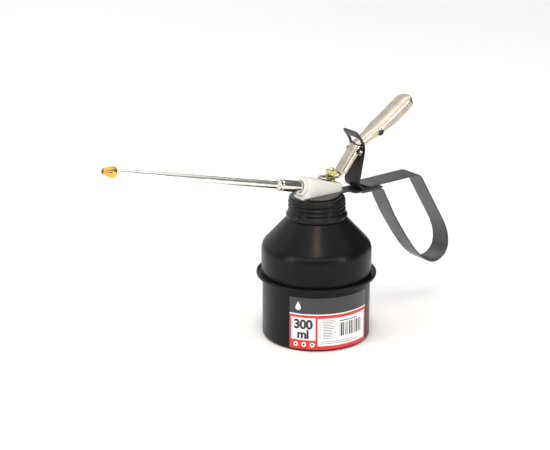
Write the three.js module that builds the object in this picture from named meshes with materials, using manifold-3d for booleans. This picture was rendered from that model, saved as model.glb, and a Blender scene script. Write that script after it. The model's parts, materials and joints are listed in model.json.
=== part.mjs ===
// A hand oiler can: a steel can with a screw cap, and on the cap a lever pump with a rigid spout
// and a strap handle.
// Millimetres, +Z up. The origin is the centre of the can's flat base. The spout points to -X and
// the handle to +X.

import * as THREE from 'three';
import { mergeVertices } from 'three/addons/utils/BufferGeometryUtils.js';
import Module from 'manifold-3d';

const wasm = await Module();
wasm.setup();

// ---------------------------------------------------------------- driving dimensions

const GAP = 0.3;                    // clearance kept between touching pieces

// The can
const CAN_RADIUS = 36.5;
const SHEET = 0.7;
const CUP_HEIGHT = 42.6;            // where the cup's rim turns outwards
const BEAD_RADIUS = 40.6;
const BEAD_TOP = 45.3;
const SHELL_RADIUS = 37.2;
const SHOULDER_BEND = 64.6;         // where the wall and the cone would meet
const CONE_RISE = 1.08;             // height per unit of radius
const NECK_RADIUS = 17.8;
const NECK_ROOT = 85.4;
const NECK_TOP = 96;

// The rolled screw thread
const THREAD_PITCH = 3;
const THREAD_DEPTH = 0.4;
const ROWS_PER_PITCH = 4;

// The screw cap
const CAP_SHEET = 0.6;
const CAP_RADIUS = 18.9;
const CAP_RIM_RADIUS = 20.65;
const CAP_BOTTOM = 84;
const CAP_TOP = 98.2;
const GASKET_BORE = 16.3;

// Straps and brackets, bent from one strip
const STRIP = 1;
const STRIP_HALF = 8;
const PLATE_LEVEL = CAP_TOP + GAP + STRIP / 2;
const PLATE_RADIUS = 15.3;
const TONGUE_LEVEL = 96.4;
const FORK_HALF = 5.2;

// The pump
const PUMP_X = 11.8;
const BODY_FRONT = -14.2;
const BODY_HALF = 6.5;
const BODY_BASE = PLATE_LEVEL + STRIP / 2 + GAP;
const BARREL_RADIUS = 4.1;
const BARREL_BORE = 3.5;
const BARREL_TOP = 101.6;
const BARREL_BOTTOM = 54;
const ROD_RADIUS = 2;
const ROD_HOLE = ROD_RADIUS + GAP;
const PISTON_RADIUS = BARREL_BORE - GAP;
const NUT_BOTTOM = 110.2;
const NUT_TOP = 113.8;
const GLAND_NUT_RADIUS = 3.2;
const GLAND_NUT_BOTTOM = 104.5;
const NUT_RADIUS = 4.04;            // across the corners of a 7 mm hexagon
const SCREW_PLACES = [[1, -4.2], [1, 4.2]];

// The spout, along an axis that climbs towards -X
const SPOUT_CLIMB = 13.9;           // degrees
const SPOUT_ROOT = [-7.5, 0, 104.9];
const FERRULE_RADIUS = 3.85;
const FERRULE_LENGTH = 26.2;
const SPOUT_RADIUS = 2.5;
const SPOUT_BORE = 1.7;
const SPOUT_START = 12;
const SPOUT_END = 151.7;
const NOZZLE_LENGTH = 8.4;

// The lever and its fulcrum
const FULCRUM = [31.5, 124.2];      // X and Z
const PIN_RADIUS = 1.25;
const LEVER_HALF = 5;
const PADDLE_HALF = 7.2;
const LEVER_SHEET = 1.1;

const ROUND = 36;                   // facets round the can and the cap
const SMALL = 18;                   // facets round small pieces

// ---------------------------------------------------------------- shape helpers

const point = (x, y) => new THREE.Vector2(x, y);
const points = (pairs) => pairs.map(([x, y]) => point(x, y));
const radians = THREE.MathUtils.degToRad;

/** Shared corners only, and no collapsed triangles. */
function welded(geometry) {
  geometry.deleteAttribute('normal');
  geometry.deleteAttribute('uv');
  const merged = mergeVertices(geometry);
  const corners = merged.index.array;
  const kept = [];
  for (let i = 0; i < corners.length; i += 3) {
    const [a, b, c] = [corners[i], corners[i + 1], corners[i + 2]];
    if (a !== b && b !== c && c !== a) kept.push(a, b, c);
  }
  merged.setIndex(kept);
  return merged;
}

function solid(geometry) {
  const closed = welded(geometry);
  return new wasm.Manifold(new wasm.Mesh({
    numProp: 3,
    vertProperties: new Float32Array(closed.attributes.position.array),
    triVerts: new Uint32Array(closed.index.array),
  }));
}

function geometryOf(manifold) {
  const mesh = manifold.getMesh();
  const geometry = new THREE.BufferGeometry();
  geometry.setAttribute('position', new THREE.BufferAttribute(mesh.vertProperties, 3));
  geometry.setIndex(new THREE.BufferAttribute(mesh.triVerts, 1));
  geometry.computeVertexNormals();
  return geometry;
}

/** The outline in anticlockwise order. */
function anticlockwise(outline) {
  return THREE.ShapeUtils.area(outline) < 0 ? [...outline].reverse() : outline;
}

/** A profile of (radius, height) points turned about Z; shape(vertex) may move its vertices. */
function turnedGeometry(outline, segments, shape = null) {
  const profile = anticlockwise(outline);
  profile.push(profile[0].clone());
  const geometry = new THREE.LatheGeometry(profile, segments);
  geometry.rotateX(Math.PI / 2);
  if (shape) {
    const place = geometry.attributes.position;
    const vertex = new THREE.Vector3();
    for (let i = 0; i < place.count; i += 1) {
      vertex.fromBufferAttribute(place, i);
      shape(vertex);
      place.setXYZ(i, vertex.x, vertex.y, vertex.z);
    }
  }
  return geometry;
}

const turned = (outline, segments = SMALL, shape = null) => solid(turnedGeometry(outline, segments, shape));

const ring = (inner, outer, low, high, segments = SMALL) => turned(
  points([[inner, low], [outer, low], [outer, high], [inner, high]]), segments);

const cylinder = (radius, low, high, segments = SMALL) => turned(
  points([[0, low], [radius, low], [radius, high], [0, high]]), segments);

/** An outline drawn in two axes and extruded along the third, from low to high. */
function prism(outline, low, high, basis) {
  const geometry = new THREE.ExtrudeGeometry(new THREE.Shape(outline), {
    depth: high - low, bevelEnabled: false, curveSegments: SMALL,
  });
  geometry.translate(0, 0, low);
  geometry.applyMatrix4(basis);
  return solid(geometry);
}

const axes = (x, y, z) => new THREE.Matrix4().makeBasis(
  new THREE.Vector3(...x), new THREE.Vector3(...y), new THREE.Vector3(...z));
const UPRIGHT = axes([1, 0, 0], [0, 1, 0], [0, 0, 1]);
const SIDEWAYS = axes([1, 0, 0], [0, 0, 1], [0, -1, 0]);
const LENGTHWAYS = axes([0, 1, 0], [0, 0, 1], [1, 0, 0]);

const prismZ = (outline, low, high) => prism(outline, low, high, UPRIGHT);
const prismY = (outline, low, high) => prism(outline, -high, -low, SIDEWAYS);
const prismX = (outline, low, high) => prism(outline, low, high, LENGTHWAYS);

const rectangle = (left, bottom, right, top) => points(
  [[left, bottom], [right, bottom], [right, top], [left, top]]);

function circle(x, y, radius, count = SMALL) {
  const outline = [];
  for (let i = 0; i < count; i += 1) {
    const angle = (2 * Math.PI * i) / count;
    outline.push(point(x + radius * Math.cos(angle), y + radius * Math.sin(angle)));
  }
  return outline;
}

/** The outline of a bent sheet: its middle line, offset by half its thickness to each side. */
function bentSheet(middle, thickness) {
  const line = middle.filter((here, i) => i === 0 || here.distanceTo(middle[i - 1]) > 1e-6);
  const left = [];
  const right = [];
  line.forEach((here, i) => {
    const before = here.clone().sub(line[Math.max(i - 1, 0)]);
    const after = line[Math.min(i + 1, line.length - 1)].clone().sub(here);
    if (i === 0) before.copy(after);
    if (i === line.length - 1) after.copy(before);
    before.normalize();
    after.normalize();
    const along = before.clone().add(after).normalize();
    const mitre = thickness / 2 / Math.max(along.dot(after), 0.5);
    const offset = point(-along.y, along.x).multiplyScalar(mitre);
    left.push(here.clone().add(offset));
    right.push(here.clone().sub(offset));
  });
  return [...left, ...right.reverse()];
}

/** Moves the vertices of a wall near a radius in and out along a right-hand helix. */
function rolledThread(low, high, radius) {
  return (vertex) => {
    const reach = Math.hypot(vertex.x, vertex.y);
    if (vertex.z < low || vertex.z > high || Math.abs(reach - radius) > 1) return;
    const angle = Math.atan2(vertex.y, vertex.x);
    const wave = THREAD_DEPTH * Math.cos((2 * Math.PI * vertex.z) / THREAD_PITCH - angle);
    vertex.x *= (reach + wave) / reach;
    vertex.y *= (reach + wave) / reach;
  };
}

/** Points up a wall, close enough together to carry the thread. */
function threadRows(radius, low, high) {
  const count = Math.round(((high - low) / THREAD_PITCH) * ROWS_PER_PITCH);
  return Array.from({ length: count + 1 }, (_, i) => point(radius, low + ((high - low) * i) / count));
}

class Coil extends THREE.Curve {
  constructor(radius, low, high, turns) {
    super();
    Object.assign(this, { radius, low, high, turns });
  }

  getPoint(t, target = new THREE.Vector3()) {
    const angle = 2 * Math.PI * this.turns * t;
    return target.set(this.radius * Math.cos(angle), this.radius * Math.sin(angle),
      this.low + (this.high - this.low) * t);
  }
}

function spring(radius, wire, low, high, turns) {
  const stepsPerTurn = 9;
  return solid(new THREE.ExtrudeGeometry(new THREE.Shape(circle(0, 0, wire, 5)), {
    steps: turns * stepsPerTurn, extrudePath: new Coil(radius, low + wire, high - wire, turns),
  }));
}

// ---------------------------------------------------------------- scene graph

const group = new THREE.Group();
const pumpAxis = new THREE.Group();
pumpAxis.position.x = PUMP_X;
const spoutAxis = new THREE.Group();
spoutAxis.position.set(...SPOUT_ROOT);
spoutAxis.rotation.y = -radians(90 - SPOUT_CLIMB);
group.add(pumpAxis, spoutAxis);

const finish = (color, roughness, metalness) => (
  new THREE.MeshStandardMaterial({ color, roughness, metalness })
);
const BLACK_PAINT = finish(0x0d0d0e, 0.38, 0.1);
const SATIN_BLACK = finish(0x141415, 0.5, 0.1);
const NYLON = finish(0xe9e9e2, 0.5, 0);
const NICKEL = finish(0xc9bfae, 0.22, 1);
const CHROME = finish(0xd0d0cc, 0.25, 1);
const BRASS = finish(0xc09030, 0.3, 1);
const ZINC = finish(0xb7a850, 0.35, 1);
const STEEL = finish(0x9a9a98, 0.35, 1);
const RUBBER = finish(0x1a1a1a, 0.8, 0);
const PLASTIC_TUBE = finish(0xdcdcd2, 0.5, 0);
const STICKER = finish(0xb5121b, 0.35, 0);

function part(name, manifold, material, parent = group) {
  const mesh = new THREE.Mesh(geometryOf(manifold), material);
  mesh.name = name;
  parent.add(mesh);
}

// ---------------------------------------------------------------- the can

function canCup() {
  const floor = SHEET / 2;
  const wall = CAN_RADIUS - SHEET / 2;
  const lip = CUP_HEIGHT + SHEET / 2;
  const middle = new THREE.Path()
    .moveTo(0, floor).lineTo(26, floor).lineTo(27, floor + 0.8)
    .lineTo(31, floor + 0.8)
    .lineTo(32, floor)
    .lineTo(wall - 2, floor)
    .quadraticCurveTo(wall, floor, wall, floor + 2)
    .lineTo(wall, lip)
    .lineTo(BEAD_RADIUS - SHEET / 2, lip)
    .lineTo(BEAD_RADIUS - SHEET / 2, BEAD_TOP - SHEET / 2)
    .lineTo(BEAD_RADIUS - 2.2, BEAD_TOP - SHEET / 2);
  return turned(bentSheet(middle.getPoints(4), SHEET), ROUND);
}

function canShoulder() {
  const wall = SHELL_RADIUS - SHEET / 2;
  const neck = NECK_RADIUS - SHEET / 2;
  const flange = CUP_HEIGHT + SHEET + GAP + SHEET / 2;
  const coneTop = neck + 0.9;
  const coneTopHeight = SHOULDER_BEND + CONE_RISE * (wall - coneTop);
  const bend = 3;
  const middle = new THREE.Path()
    .moveTo(BEAD_RADIUS - SHEET - GAP, flange).lineTo(wall, flange)
    .lineTo(wall, SHOULDER_BEND - bend)
    .quadraticCurveTo(wall, SHOULDER_BEND, wall - bend * 0.68, SHOULDER_BEND + bend * 0.73)
    .lineTo(coneTop, coneTopHeight);
  const line = [...middle.getPoints(4), ...threadRows(neck, NECK_ROOT + 0.6, NECK_TOP)];
  return turned(bentSheet(line, SHEET), ROUND, rolledThread(NECK_ROOT + 0.5, NECK_TOP + 1, neck));
}

function label() {
  const inner = CAN_RADIUS + GAP;
  const outer = inner + 0.25;
  const [first, last] = [-156, -64];
  const steps = 16;
  const arc = (radius) => Array.from({ length: steps + 1 }, (_, i) => {
    const angle = radians(first + ((last - first) * i) / steps);
    return point(radius * Math.cos(angle), radius * Math.sin(angle));
  });
  return prismZ([...arc(outer), ...arc(inner).reverse()], 2.5, 38.3);
}

part('can_cup', canCup(), BLACK_PAINT);
part('can_shoulder', canShoulder(), BLACK_PAINT);
part('label', label(), STICKER);

// ---------------------------------------------------------------- the screw cap

/** A hole through the cap's top or the plate, for the barrel or a screw. */
const passage = (x, y, radius) => prismZ(circle(x, y, radius), CAP_TOP - 5, CAP_TOP + 5);
const screwHoles = () => SCREW_PLACES.map(([x, y]) => passage(x, y, 1.7));

function screwCap() {
  const wall = CAP_RADIUS - CAP_SHEET / 2;
  const rim = CAP_RIM_RADIUS - CAP_SHEET / 2;
  const top = CAP_TOP - CAP_SHEET / 2;
  const threadLow = CAP_BOTTOM + 3.2;
  const threadHigh = CAP_TOP - 2.6;
  const corner = new THREE.Path()
    .moveTo(wall, threadHigh + 0.3).quadraticCurveTo(wall, top, wall - 2, top)
    .lineTo(0, top);
  const line = [
    ...points([[rim, CAP_BOTTOM], [rim, CAP_BOTTOM + 1.6], [wall + 0.8, CAP_BOTTOM + 2.6]]),
    ...threadRows(wall, threadLow, threadHigh),
    ...corner.getPoints(4),
  ];
  const thread = rolledThread(threadLow - 0.1, threadHigh + 0.1, wall);
  const shell = turned(bentSheet(line, CAP_SHEET), ROUND, thread);
  return wasm.Manifold.difference([shell, passage(PUMP_X, 0, BARREL_RADIUS + GAP), ...screwHoles()]);
}

part('cap_gasket', ring(GASKET_BORE, 17.5, NECK_TOP + GAP, CAP_TOP - CAP_SHEET - GAP, ROUND), RUBBER);
part('screw_cap', screwCap(), BLACK_PAINT);

// ---------------------------------------------------------------- plate, bracket and handle

function mountingPlate() {
  const half = STRIP / 2;
  const disc = prismZ(circle(0, 0, PLATE_RADIUS, ROUND), PLATE_LEVEL - half, PLATE_LEVEL + half);
  const tongue = prismY(bentSheet(points([[8, PLATE_LEVEL], [20.5, PLATE_LEVEL],
    [27.3, TONGUE_LEVEL], [51, TONGUE_LEVEL]]), STRIP), -STRIP_HALF, STRIP_HALF);
  const fork = prismZ(rectangle(-20, -FORK_HALF, -2.5, FORK_HALF), 90, 110);
  const bendSlot = prismZ(rectangle(20.4, -4.8, 23.8, 4.8), 90, 102);
  return wasm.Manifold.difference([disc.add(tongue), fork, bendSlot,
    passage(PUMP_X, 0, BARREL_RADIUS + GAP), ...screwHoles()]);
}

function uprightBracket() {
  const foot = TONGUE_LEVEL + STRIP + GAP;
  const middle = new THREE.Path()
    .moveTo(47.5, foot).lineTo(31.9, foot).quadraticCurveTo(29, foot, 29.5, foot + 3)
    .lineTo(33.8, 123.6)
    .quadraticCurveTo(34.7, 128.6, 31.8, 132.4)
    .lineTo(26.9, 138.9);
  const crown = new THREE.Path()
    .moveTo(-STRIP_HALF, 90).lineTo(STRIP_HALF, 90).lineTo(STRIP_HALF, 136.6)
    .quadraticCurveTo(STRIP_HALF, 139, STRIP_HALF - 2.4, 139)
    .lineTo(2.4 - STRIP_HALF, 139)
    .quadraticCurveTo(-STRIP_HALF, 139, -STRIP_HALF, 136.6);
  const strip = prismY(bentSheet(middle.getPoints(5), STRIP), -STRIP_HALF, STRIP_HALF);
  const side = LEVER_HALF + 0.5;
  const window = new THREE.Path()
    .moveTo(-side + 1.5, 120.5).lineTo(side - 1.5, 120.5)
    .quadraticCurveTo(side, 120.5, side, 122)
    .lineTo(side, 131.5)
    .quadraticCurveTo(side, 133.8, side - 2.4, 133.8)
    .lineTo(2.4 - side, 133.8)
    .quadraticCurveTo(-side, 133.8, -side, 131.5)
    .lineTo(-side, 122)
    .quadraticCurveTo(-side, 120.5, -side + 1.5, 120.5);
  const [x, z] = FULCRUM;
  const ear = (low) => prismY(circle(x, z, 2.1), low, low + STRIP)
    .add(prismY(rectangle(x, z - 2.1, x + 1.9, z + 2), low, low + STRIP));
  const bent = strip.intersect(prismX(crown.getPoints(6), 0, 60))
    .subtract(prismX(window.getPoints(6).slice(1), 20, 45));
  return bent.add(ear(side)).add(ear(-side - STRIP))
    .subtract(prismY(circle(x, z, PIN_RADIUS + GAP), -STRIP_HALF - 1, STRIP_HALF + 1));
}

function handleStrap() {
  const top = TONGUE_LEVEL + 2 * (STRIP + GAP);
  const bottom = TONGUE_LEVEL - STRIP - GAP;
  const middle = new THREE.Path()
    .moveTo(37.2, top).lineTo(48, top).lineTo(78.3, 99.6)
    .quadraticCurveTo(83, 99.7, 86.2, 94.5)
    .lineTo(106.5, 61.5)
    .bezierCurveTo(110.2, 55, 111.7, 50, 111.7, 44.6)
    .bezierCurveTo(111.7, 37, 106, 32.6, 99.8, 32.6)
    .bezierCurveTo(93.5, 32.6, 86, 39.5, 80.9, 45.4)
    .bezierCurveTo(76, 51, 64.5, 68.8, 60.6, 75.6)
    .lineTo(52.8, 90.3)
    .quadraticCurveTo(50.6, bottom, 46.5, bottom)
    .lineTo(33, bottom);
  const strip = prismY(bentSheet(middle.getPoints(7), STRIP), -STRIP_HALF, STRIP_HALF);
  const corner = 4.2;
  const frontCorners = [-1, 1].map((side) => {
    const block = prismZ(rectangle(36, STRIP_HALF - corner, 37.2 + corner, STRIP_HALF + 1), 98, 101);
    const disc = prismZ(circle(37.2 + corner, STRIP_HALF - corner, corner, 32), 97, 102);
    const waste = block.subtract(disc);
    return side > 0 ? waste : waste.mirror([0, 1, 0]);
  });
  return wasm.Manifold.difference([strip, ...frontCorners]);
}

part('mounting_plate', mountingPlate(), SATIN_BLACK);
part('upright_bracket', uprightBracket(), SATIN_BLACK);
part('handle_strap', handleStrap(), SATIN_BLACK);

// ---------------------------------------------------------------- the pump body and its screws

function spoutSolid(manifold) {
  const lean = new THREE.Quaternion().setFromEuler(new THREE.Euler(0, spoutAxis.rotation.y, 0));
  const size = new THREE.Vector3(1, 1, 1);
  const place = new THREE.Matrix4().compose(new THREE.Vector3(...SPOUT_ROOT), lean, size);
  return manifold.transform(place.elements);
}

function pumpBody() {
  const topAt = (x) => 109.1 - 0.311 * x;
  const rear = PUMP_X + BODY_HALF;
  const frontTop = BODY_FRONT + 3.1;
  const side = prismY(points([[BODY_FRONT, BODY_BASE], [rear, BODY_BASE], [rear, topAt(rear)],
    [frontTop + 1.5, topAt(frontTop + 1.5)], [frontTop, topAt(frontTop) - 1.2]]), -10, 10);
  const corner = 3.2;
  const plan = new THREE.Path()
    .moveTo(BODY_FRONT + corner, -BODY_HALF)
    .lineTo(PUMP_X, -BODY_HALF)
    .absarc(PUMP_X, 0, BODY_HALF, -Math.PI / 2, Math.PI / 2)
    .lineTo(BODY_FRONT + corner, BODY_HALF)
    .quadraticCurveTo(BODY_FRONT, BODY_HALF, BODY_FRONT, BODY_HALF - corner)
    .lineTo(BODY_FRONT, corner - BODY_HALF)
    .quadraticCurveTo(BODY_FRONT, -BODY_HALF, BODY_FRONT + corner, -BODY_HALF);
  const outline = plan.getPoints(8);
  outline.pop();
  const block = side.intersect(prismZ(outline, 90, 120));
  const foot = prismZ(rectangle(BODY_FRONT - 1.4, GAP - FORK_HALF, -2.8, FORK_HALF - GAP),
    CAP_TOP + GAP, BODY_BASE + 1);
  const barrelSeat = cylinder(BARREL_RADIUS + GAP, BODY_BASE - 1, BARREL_TOP + GAP).translate(PUMP_X, 0, 0);
  const rodBore = cylinder(ROD_HOLE, BODY_BASE, 120)
    .add(cylinder(GLAND_NUT_RADIUS + 2 * GAP, GLAND_NUT_BOTTOM - GAP, 120))
    .translate(PUMP_X, 0, 0);
  const spoutSocket = spoutSolid(cylinder(FERRULE_RADIUS + GAP, -GAP, 20));
  const oilway = spoutSolid(cylinder(1.2, -16.5, 1, 8));
  const screwBores = SCREW_PLACES.map(([x, y]) => cylinder(1.7, 95, 105, 10).translate(x, y, 0));
  const holes = [barrelSeat, rodBore, spoutSocket, oilway, ...screwBores];
  return wasm.Manifold.difference([block.add(foot), ...holes]);
}

const screwProfile = points([[0, 95.4], [2.4, 95.4], [2.8, 96.4], [2.8, 97.3], [1.4, 97.3],
  [1.4, 104.2], [0, 104.6]]);

part('pump_body', pumpBody(), NYLON);
SCREW_PLACES.forEach(([x, y], i) => {
  part(`body_screw_${i + 1}`, turned(screwProfile, 12).translate(x, y, 0), STEEL);
});

// ---------------------------------------------------------------- inside the pump

part('pump_barrel', ring(BARREL_BORE, BARREL_RADIUS, BARREL_BOTTOM, BARREL_TOP), STEEL, pumpAxis);
part('rod_gland', ring(ROD_HOLE, PISTON_RADIUS, 96, 99.6), BRASS, pumpAxis);
part('rod_seal', ring(ROD_HOLE, PISTON_RADIUS, 99.9, 101.3), RUBBER, pumpAxis);
part('return_spring', spring(2.75, 0.35, 70.8, 95.7, 9), STEEL, pumpAxis);
part('piston', ring(ROD_HOLE, PISTON_RADIUS, 66.8, 70.4), BRASS, pumpAxis);
part('piston_cup', turned(points([[ROD_HOLE, 64.4], [2.9, 63.5], [PISTON_RADIUS, 63.5],
  [PISTON_RADIUS, 66.5], [ROD_HOLE, 66.5]])), RUBBER, pumpAxis);
part('plunger_rod', turned(points([[0, 62], [2.5, 62], [2.7, 62.6], [2.7, 63.2], [ROD_RADIUS, 63.2],
  [ROD_RADIUS, 114.5], [1.5, 115], [0, 115]])), ZINC, pumpAxis);

/** A hexagon nut with chamfered corners, by its radius across the corners and its two levels. */
function hexNut(radius, low, high) {
  const blank = prismZ(circle(0, 0, radius, 6), low, high);
  const [flat, corner] = [radius * 0.87, radius * 1.04];
  const rounding = turned(points([[0, low], [flat, low], [corner, low + 0.5],
    [corner, high - 0.5], [flat, high], [0, high]]));
  return blank.intersect(rounding).subtract(cylinder(ROD_HOLE, low - 1, high + 1));
}

part('gland_nut', hexNut(GLAND_NUT_RADIUS, GLAND_NUT_BOTTOM, GLAND_NUT_BOTTOM + 3), ZINC, pumpAxis);
part('rod_nut', hexNut(NUT_RADIUS, NUT_BOTTOM, NUT_TOP), ZINC, pumpAxis);

const FOOT_SEAT = 57;
part('foot_valve_body', turned(points([[1.2, 44], [2.1, 44], [2.1, 50], [BARREL_RADIUS, 50],
  [BARREL_RADIUS, BARREL_BOTTOM - GAP], [PISTON_RADIUS, BARREL_BOTTOM - GAP], [PISTON_RADIUS, FOOT_SEAT],
  [2.3, FOOT_SEAT], [1.2, FOOT_SEAT - 1.1]])), BRASS, pumpAxis);
const footBall = new THREE.SphereGeometry(1.8, 14, 8).translate(0, 0, FOOT_SEAT + 1.3);
part('foot_ball', solid(footBall), STEEL, pumpAxis);
part('suction_tube', ring(2.4, 3.2, 6, 49.7), PLASTIC_TUBE, pumpAxis);
part('strainer', turned(points([[1, 2.6], [4.2, 2.6], [4.2, 10], [3.5, 10], [3.5, 3.3],
  [1, 3.3]])), BRASS, pumpAxis);

// ---------------------------------------------------------------- the spout, drawn along its own axis

const ferruleBore = SPOUT_RADIUS + GAP;
part('spout_ferrule', turned(points([[0.9, 0], [FERRULE_RADIUS, 0], [FERRULE_RADIUS, 22.7], [3.35, 23.1],
  [3.35, 23.9], [FERRULE_RADIUS, 24.3], [FERRULE_RADIUS, 25.2], [3.2, FERRULE_LENGTH],
  [ferruleBore, FERRULE_LENGTH], [ferruleBore, 1.4], [0.9, 1.4]])), CHROME, spoutAxis);
part('outlet_ball', solid(new THREE.SphereGeometry(1.7, 14, 8).translate(0, 0, 3.4)), STEEL, spoutAxis);
part('outlet_spring', spring(1.9, 0.3, 5.4, SPOUT_START - GAP, 4), STEEL, spoutAxis);
part('spout_tube', ring(SPOUT_BORE, SPOUT_RADIUS, SPOUT_START, SPOUT_END), CHROME, spoutAxis);
part('nozzle_tip', turned(points([[0.7, SPOUT_END - 6], [SPOUT_BORE - GAP, SPOUT_END - 6],
  [SPOUT_BORE - GAP, SPOUT_END + GAP], [3.5, SPOUT_END + GAP], [3.5, SPOUT_END + 3],
  [1.9, SPOUT_END + NOZZLE_LENGTH], [0.7, SPOUT_END + NOZZLE_LENGTH]])), BRASS, spoutAxis);

// ---------------------------------------------------------------- the lever and its pin

/** The lever seen from above: a narrow channel that widens into the thumb paddle. */
function leverPlan(inset) {
  const waist = LEVER_HALF - inset;
  const paddle = PADDLE_HALF - inset;
  const end = 78.8 - inset;
  return new THREE.Path()
    .moveTo(4.5, -4.2).quadraticCurveTo(2, -3.6, 2, 0)
    .quadraticCurveTo(2, 3.6, 4.5, 4.2)
    .lineTo(15, 4.4)
    .lineTo(19.5, waist)
    .lineTo(41, waist)
    .bezierCurveTo(45, waist, 48, paddle, 53, paddle)
    .lineTo(70, paddle)
    .bezierCurveTo(76, paddle, end, paddle * 0.6, end, 0)
    .bezierCurveTo(end, -paddle * 0.6, 76, -paddle, 70, -paddle)
    .lineTo(53, -paddle)
    .bezierCurveTo(48, -paddle, 45, -waist, 41, -waist)
    .lineTo(19.5, -waist)
    .lineTo(15, -4.4)
    .getPoints(6);
}

function thumbLever() {
  const side = points([[1.5, 110.4], [15.9, 109.1], [18.2, 112.3], [27.5, 123.4], [31.6, 128.3],
    [45.2, 136.4], [54.6, 141.9], [70.5, 152.6], [77.5, 156.4], [81.5, 154.2], [81.5, 152.4],
    [73.5, 148.4], [63.1, 141.3], [56.5, 137.6], [44.1, 131.4], [37.8, 127.6], [32.2, 124.4],
    [30, 122], [20.5, 110.2], [19, 111.4], [16.5, 107.95], [1.5, 109.3]]);
  const hollow = points([[19.05, 111.6], [28.4, 122.7], [32.3, 127.4], [45.7, 135.3], [55.2, 140.8],
    [71, 151.4], [77.4, 155], [84, 151.6], [84, 140], [40, 110], [20, 105]]);
  const [x, z] = FULCRUM;
  const across = (outline) => prismY(outline, -PADDLE_HALF, PADDLE_HALF);
  const channel = across(side).add(across(circle(x, z, 3)))
    .intersect(prismZ(leverPlan(0), 100, 160));
  const inside = across(hollow).intersect(prismZ(leverPlan(LEVER_SHEET), 100, 160));
  const slotHalf = ROD_RADIUS + 0.5;
  const slot = prismZ(circle(PUMP_X, 0, slotHalf, 12), 100, 114)
    .add(prismZ(rectangle(PUMP_X, -slotHalf, 17.8, slotHalf), 100, 114));
  const bore = prismY(circle(x, z, PIN_RADIUS + GAP), -STRIP_HALF, STRIP_HALF);
  const flangeNotch = across(circle(49.3, 134.4, 2.4));
  return wasm.Manifold.difference([channel, inside, slot, bore, flangeNotch]);
}

function fulcrumPin() {
  const earFace = LEVER_HALF + 0.5 + STRIP + GAP;
  const head = 0.8;
  const profile = points([[0, -earFace - head], [1.4, -earFace - head], [1.6, -earFace],
    [PIN_RADIUS, -earFace], [PIN_RADIUS, earFace],
    [1.6, earFace], [1.4, earFace + head], [0, earFace + head]]);
  return turned(profile).rotate([90, 0, 0]).translate(FULCRUM[0], 0, FULCRUM[1]);
}

part('fulcrum_pin', fulcrumPin(), STEEL);
part('thumb_lever', thumbLever(), NICKEL);

export default group;
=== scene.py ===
"""The looks of a hand oiler can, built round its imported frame.

Lengths in this script are millimetres, turned into metres where a mesh is made.
"""

import json
import math
import bmesh
import bpy
from mathutils import Matrix, Vector


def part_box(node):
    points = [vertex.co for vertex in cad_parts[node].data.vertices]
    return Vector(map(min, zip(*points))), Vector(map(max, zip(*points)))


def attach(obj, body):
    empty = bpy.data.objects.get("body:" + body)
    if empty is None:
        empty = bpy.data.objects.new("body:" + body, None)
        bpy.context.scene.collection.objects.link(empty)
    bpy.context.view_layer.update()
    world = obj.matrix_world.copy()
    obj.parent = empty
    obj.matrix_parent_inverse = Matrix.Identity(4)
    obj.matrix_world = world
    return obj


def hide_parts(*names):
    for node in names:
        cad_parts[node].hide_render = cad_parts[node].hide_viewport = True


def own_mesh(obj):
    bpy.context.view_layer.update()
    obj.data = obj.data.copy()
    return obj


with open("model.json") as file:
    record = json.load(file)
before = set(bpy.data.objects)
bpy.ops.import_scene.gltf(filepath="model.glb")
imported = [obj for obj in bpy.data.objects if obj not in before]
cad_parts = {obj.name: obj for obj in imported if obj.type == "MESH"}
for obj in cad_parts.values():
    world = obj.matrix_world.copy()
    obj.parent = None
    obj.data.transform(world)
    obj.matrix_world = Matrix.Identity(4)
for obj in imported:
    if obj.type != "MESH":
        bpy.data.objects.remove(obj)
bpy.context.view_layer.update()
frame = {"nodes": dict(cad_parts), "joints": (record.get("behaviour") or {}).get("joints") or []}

MM = 0.001
CURVE_STEPS = 6              # facets in a quarter of a small fillet
ARC_STEP = 1.5               # longest facet of a wide bend
ROUND = 128                  # facets round the can
SMALL = 48                   # facets round small turned pieces

# ---------------------------------------------------------------- measures read from the frame


def limits(node):
    """The lowest and highest corners of a CAD node, in millimetres."""
    low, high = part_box(node)
    return low / MM, high / MM


def joint(name):
    return next(j for j in frame["joints"] if j["name"] == name)


CUP_LOW, CUP_HIGH = limits("can_cup")
NECK_TOP = limits("can_shoulder")[1].z
CAP_LOW, CAP_HIGH = limits("screw_cap")
PLATE_LOW, PLATE_HIGH = limits("mounting_plate")
BRACKET_LOW, BRACKET_HIGH = limits("upright_bracket")
STRAP_LOW, STRAP_HIGH = limits("handle_strap")
BODY_LOW, BODY_HIGH = limits("pump_body")
LEVER_LOW, LEVER_HIGH = limits("thumb_lever")
ROD_LOW, ROD_HIGH = limits("plunger_rod")
NUT_LOW, NUT_HIGH = limits("rod_nut")
PIN_LOW, PIN_HIGH = limits("fulcrum_pin")
LABEL_LOW, LABEL_HIGH = limits("label")
FULCRUM = Vector(joint("lever_press")["pos_m"]) / MM
SPOUT_AXIS = Vector(joint("outlet_ball_lift")["axis"])
PUMP_X = (ROD_LOW.x + ROD_HIGH.x) / 2
STRIP_HALF = STRAP_HIGH.y
STRIP = 1.0

# ---------------------------------------------------------------- outlines


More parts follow.
